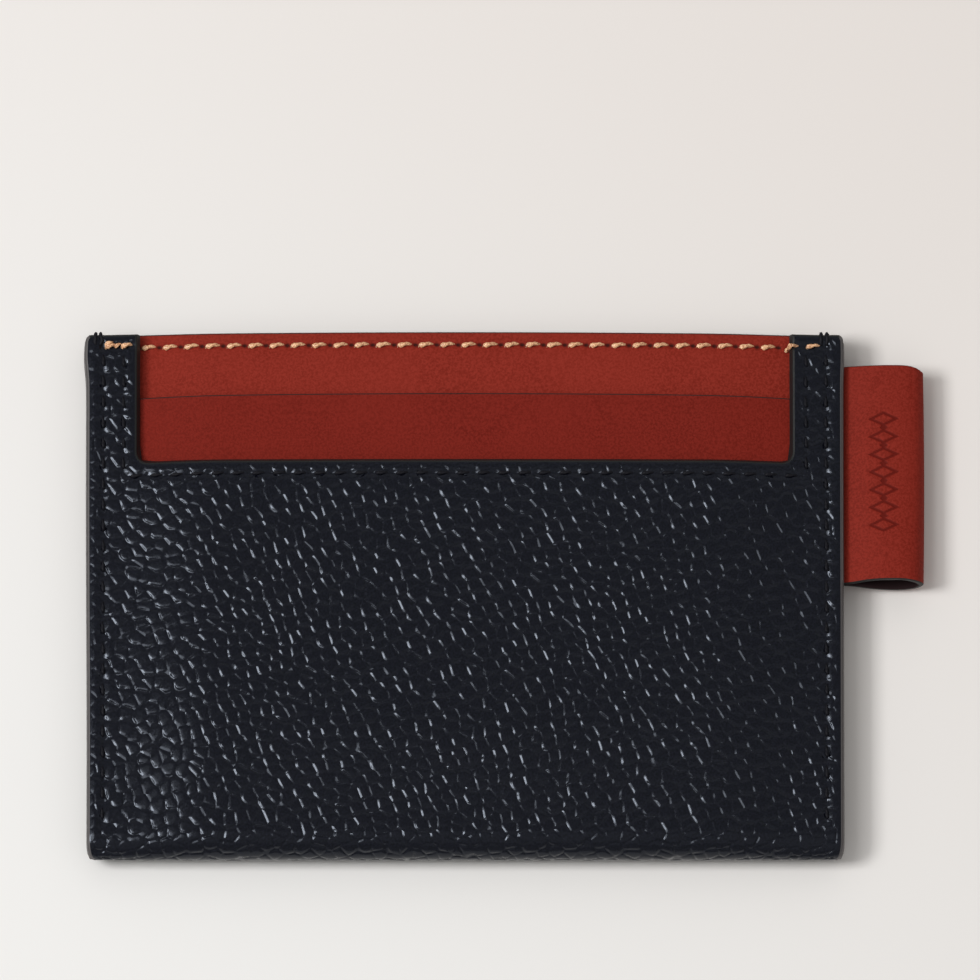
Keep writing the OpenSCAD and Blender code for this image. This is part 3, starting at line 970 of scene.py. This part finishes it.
def stitch(a, b, face, radius, proud, sink=0.4 * MM, lean=0.0):
    """One stitch from hole a to hole b over a surface; face(x, y) is its height and
    proud, which is negative on the back, says how far the thread stands off. It
    comes up full and is drawn down thinner into the far hole."""
    a, b = np.array(a, float), np.array(b, float)
    side = 1 if proud > 0 else -1
    t = np.array([0, 0.03, 0.07, 0.13, 0.2, 0.3, 0.4, 0.5, 0.6, 0.7, 0.8, 0.88, 0.94, 0.98, 1])
    xy = a + (b - a) * (0.2 + 0.61 * t)[:, None]
    across = np.array([-(b - a)[1], (b - a)[0]]) / np.linalg.norm(b - a)
    xy = xy + across * (lean * (np.sin(0.62 * math.pi * t) - 0.5))[:, None]
    u = 2 * t**0.75 - 1
    rise = (1 - np.abs(u) ** 4) * (1.15 - 0.4 * t)
    z = face(xy[:, 0], xy[:, 1]) + side * (rise * (abs(proud) + sink) - sink)
    return strand(np.column_stack([xy, z]), radius * (1.32 - 0.72 * t))


def row(start, end, holes, face, radius, proud, lean=0.0, bow=None):
    """A run of stitches between two points in the plane of the holder."""
    start, end = np.array(start, float), np.array(end, float)
    spots = start + (end - start) * np.linspace(0, 1, holes + 1)[:, None]
    spots = spots + rng.normal(0, STRAY, spots.shape)
    if bow:
        spots[:, 1] += bow(spots[:, 0], spots[:, 1])
    return [stitch(a, b, face, radius, proud, lean=lean) for a, b in zip(spots, spots[1:])]


def sewn_thread(name, node, groups, material):
    piece = rings_mesh(name, groups)
    piece.data.materials.append(material)
    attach(piece, "holder")
    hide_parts(node)
    return piece


# Filament polyester: fine fibres, pale where they lie over each other.
fibre = Effect(
    "thread fibres",
    {"Place": "Vector", "Deep": "Color", "Pale": "Color"},
    {"Colour": "Color", "Normal": "Vector"},
)
strands = fibre.noise(fibre.taken["Place"], 6500.0, 3.0, 0.7)
on_top = fibre.ramp(strands, 0.36, 0.62)
fibre.give("Colour", fibre.mix(on_top, fibre.taken["Deep"], fibre.taken["Pale"]))
fibre.give("Normal", fibre.bump(strands, 0.03 * MM, 0.8))


def thread_finish(name, pale, deep, roughness, level):
    yarn = Finish(name, pale, roughness, Specular_IOR_Level=level)
    used = yarn.use(fibre, {"Place": yarn.place(), "Deep": (*deep, 1), "Pale": (*pale, 1)})
    yarn.drive("Base Color", used["Colour"])
    yarn.drive("Normal", used["Normal"])
    return yarn.material


tan = thread_finish("tan_thread", (0.96, 0.59, 0.33), (0.36, 0.13, 0.055), 0.28, 0.55)
navy = thread_finish("navy_thread", (0.005, 0.005, 0.009), (0.002, 0.002, 0.004), 0.6, 0.2)


def front_skin(x, y):
    return front_height(x, y) - front_pull(x, y) + 0.05 * MM


def back_skin(x, y):
    return MID - half_thickness(x) + back_pull(x, y) - 0.05 * MM


def upper_skin(x, y):
    row_y = y - TOP_SEAM_Y
    return upper_height(x, y) - seam_pull(x, row_y, TOP_SEAM, TOP_HOLES, 0.1 * MM, 0.0)


def arm_step(x, y):
    """The surface the thread crosses where the row climbs onto the right arm."""
    return np.where(x > U_HALF - 0.25 * MM, front_skin(x, y), upper_skin(x, y) + 0.3 * MM)


def pocket_front(x, y):
    return upper_height(x, y) - PANEL - LINING


def pocket_back(x, y):
    return MID - half_thickness(x) + OUTER + LINING


def lining_skin(x, y):
    return front_height(x, y) - OUTER - LINING


# Tan needle thread along the front's top: over the upper slot panel, the left arm
# and the right arm. It overlaps itself at the left, where it is tied off.
needle_y = TOP_SEAM_Y - NEEDLE_DROP
start, end = (TOP_SEAM[0], needle_y), (TOP_SEAM[1], needle_y)
groups = row(start, end, TOP_HOLES, upper_skin, THREAD * 1.08, PROUD, 0.3 * MM, upper_bow)
start, end = (-SEAM_X, TOP_SEAM_Y), (-U_HALF - 0.3 * MM, TOP_SEAM_Y)
groups += row(start, end, 2, front_skin, THREAD * 1.05, PROUD, 0.26 * MM)
start, end = (U_HALF - 1.3 * MM, needle_y), (SEAM_X - 0.2 * MM, TOP_SEAM_Y)
groups += row(start, end, 2, arm_step, THREAD * 0.95, PROUD, 0.2 * MM)
start = (-SEAM_X + 0.1 * MM, TOP_SEAM_Y + 0.25 * MM)
end = (-SEAM_X + 1.5 * MM, TOP_SEAM_Y + 0.4 * MM)
groups += row(start, end, 1, front_skin, THREAD, PROUD, 0.2 * MM)
start = (-SEAM_X + 1.4 * MM, TOP_SEAM_Y - 0.1 * MM)
end = (-SEAM_X + 2.6 * MM, TOP_SEAM_Y + 0.25 * MM)
groups += row(start, end, 1, front_skin, THREAD * 0.8, 0.26 * MM, 0.2 * MM)
sewn_thread("front_top_stitches", "front_top_thread", groups, tan)

top_row = (TOP_SEAM[0], TOP_SEAM_Y), (TOP_SEAM[1], TOP_SEAM_Y)
groups = row(*top_row, TOP_HOLES, pocket_front, THREAD * 0.8, -0.12 * MM)
sewn_thread("front_top_bobbin_stitches", "front_top_bobbin", groups, tan)

start, end = (-SEAM_X + 0.3 * MM, TOP_SEAM_Y), (SEAM_X - 0.3 * MM, TOP_SEAM_Y)
groups = row(start, end, BACK_HOLES, back_skin, THREAD, -0.08 * MM, 0.1 * MM)
sewn_thread("back_top_stitches", "back_top_thread", groups, tan)

groups = row(*top_row, TOP_HOLES, pocket_back, THREAD * 0.8, 0.12 * MM)
sewn_thread("back_top_bobbin_stitches", "back_top_bobbin", groups, tan)


# Navy thread round the U, and its bobbin thread behind the front's lining.
def u_rows(face, proud):
    radius, lean = THREAD * 0.8, 0.12 * MM
    made = row((-U_ROW, U_SEAM_Y), (U_ROW, U_SEAM_Y), U_HOLES, face, radius, proud, lean)
    for x in (-U_SEAM_X, U_SEAM_X):
        foot, head = (x, U_SEAM_Y + 0.55 * MM), (x, TOP_SEAM_Y - 0.6 * MM)
        made += row(foot, head, U_ARM_HOLES, face, radius, proud, lean)
    return made


groups = u_rows(front_skin, FLAT)
sewn_thread("u_edge_stitches", "u_edge_thread", groups, navy)
groups = u_rows(lining_skin, -0.1 * MM)
sewn_thread("u_edge_bobbin_stitches", "u_edge_bobbin", groups, navy)


# Navy side seams. Where each one ends, the thread goes twice over the top edge.
def turn_over(x):
    """A turn of thread from the front, over the top edge, to the back."""
    drift = rng.normal(0, 0.1 * MM, 2)
    front, back = MID + SEWN / 2, MID - SEWN / 2
    path = [
        (x, TOP - 1.5 * MM, front - 0.5 * MM),
        (x, TOP - 1.35 * MM, front - 0.05 * MM),
        (x + drift[0], TOP - 0.9 * MM, front + 0.1 * MM),
        (x, TOP - 0.35 * MM, front + 0.1 * MM),
        (x, TOP + 0.14 * MM, front - 0.25 * MM),
        (x + drift[1], TOP + 0.2 * MM, MID),
        (x, TOP + 0.14 * MM, back + 0.25 * MM),
        (x, TOP - 0.35 * MM, back - 0.18 * MM),
        (x, TOP - 1.4 * MM, back - 0.1 * MM),
        (x, TOP - 1.7 * MM, back + 0.5 * MM),
    ]
    line, _ = smooth_curve(path, 46)
    return strand(line, THREAD * 0.95)


for side, sx, turns in (("left", -1, (1.9, 1.25)), ("right", 1, (2.95, 2.2))):
    seam = (sx * SEAM_X, SEAM_Y[0]), (sx * SEAM_X, SEAM_Y[1])
    groups = row(*seam, SEAM_HOLES, front_skin, THREAD * 0.85, FLAT, 0.1 * MM)
    groups += [turn_over(sx * (SIDE - t * MM)) for t in turns]
    sewn_thread(side + "_seam_stitches", side + "_seam_thread", groups, navy)
    groups = row(*seam, SEAM_HOLES, back_skin, THREAD * 0.9, -0.08 * MM)
    sewn_thread(side + "_seam_bobbin_stitches", side + "_seam_bobbin", groups, navy)

# ---------------------------------------------------------------------------
# The table, the light and the camera. A pale matt board, its colour darkened towards
# the back right as painted light falloff. A small window on the left and a weaker one
# above it glint on the pebbles; a wide ceiling and a far wall fill the shadows. A long
# lens looks down, 16 degrees off the vertical.
# ---------------------------------------------------------------------------

BOARD = 3.0
corners = [(-BOARD, -BOARD, 0), (BOARD, -BOARD, 0), (BOARD, BOARD, 0), (-BOARD, BOARD, 0)]
board = bpy.data.objects.new("board", bpy.data.meshes.new("board"))
board.data.from_pydata(corners, [], [(0, 1, 2, 3)])
bpy.context.scene.collection.objects.link(board)
paper = Finish("warm_paper", (0.80, 0.775, 0.755), 0.9, Specular_IOR_Level=0.1)
# The board's colour turns darker and warmer towards the back right: painted falloff of the window's light.
slope = {0: paper.place(), 1: (2.2, 2.8, 0)}
across_board = paper.node("ShaderNodeVectorMath", slope, operation="DOT_PRODUCT")
painted_falloff = paper.ramp(across_board.outputs["Value"], -0.25, 0.4)
paper.drive("Base Color", paper.mix(painted_falloff, (0.815, 0.808, 0.792, 1), (0.79, 0.745, 0.712, 1)))
board.data.materials.append(paper.material)

WHITE, WARM = (1.0, 1.0, 1.0), (1.0, 0.98, 0.96)


def area_light(name, place, aim, size, power, colour):
    lamp = bpy.data.lights.new(name, "AREA")
    lamp.shape, lamp.size, lamp.size_y = "RECTANGLE", *size
    lamp.energy, lamp.color = power, colour
    stand = bpy.data.objects.new(name, lamp)
    stand.location = place
    stand.rotation_euler = (Vector(aim) - Vector(place)).to_track_quat("-Z", "Y").to_euler()
    bpy.context.scene.collection.objects.link(stand)


area_light("window", (-0.855, -0.07, 0.98), (0, 0, 0), (0.47, 0.33), 9.2, WHITE)
area_light("window_head", (-0.55, -0.02, 1.13), (0, 0, 0), (0.5, 0.46), 3.1, WHITE)
area_light("ceiling", (0.45, -0.7, 1.5), (0.45, -0.7, 0), (3.2, 1.8), 3.0, WARM)
area_light("far_wall", (0.2, 1.7, 1.35), (0, 0, 0), (3.0, 1.4), 2.2, WARM)
room = bpy.data.worlds.new("room")
room.use_nodes = True
air = room.node_tree.nodes["Background"].inputs
air["Color"].default_value, air["Strength"].default_value = (1.0, 0.985, 0.97, 1), 0.39
bpy.context.scene.world = room
bpy.context.scene.view_settings.view_transform = "Standard"

ELEVATION = math.radians(74)
REACH = 5.39
lens = bpy.data.cameras.new("camera")
lens.lens, lens.sensor_width = 1500, 36
lens.clip_start, lens.clip_end = 0.05, 20
camera = bpy.data.objects.new("camera", lens)
target = Vector((3.33 * MM, 14.95 * MM, 3.0 * MM))
camera.location = target + REACH * Vector((0, -math.cos(ELEVATION), math.sin(ELEVATION)))
camera.rotation_euler = (target - camera.location).to_track_quat("-Z", "Y").to_euler()
bpy.context.scene.collection.objects.link(camera)
bpy.context.scene.camera = camera
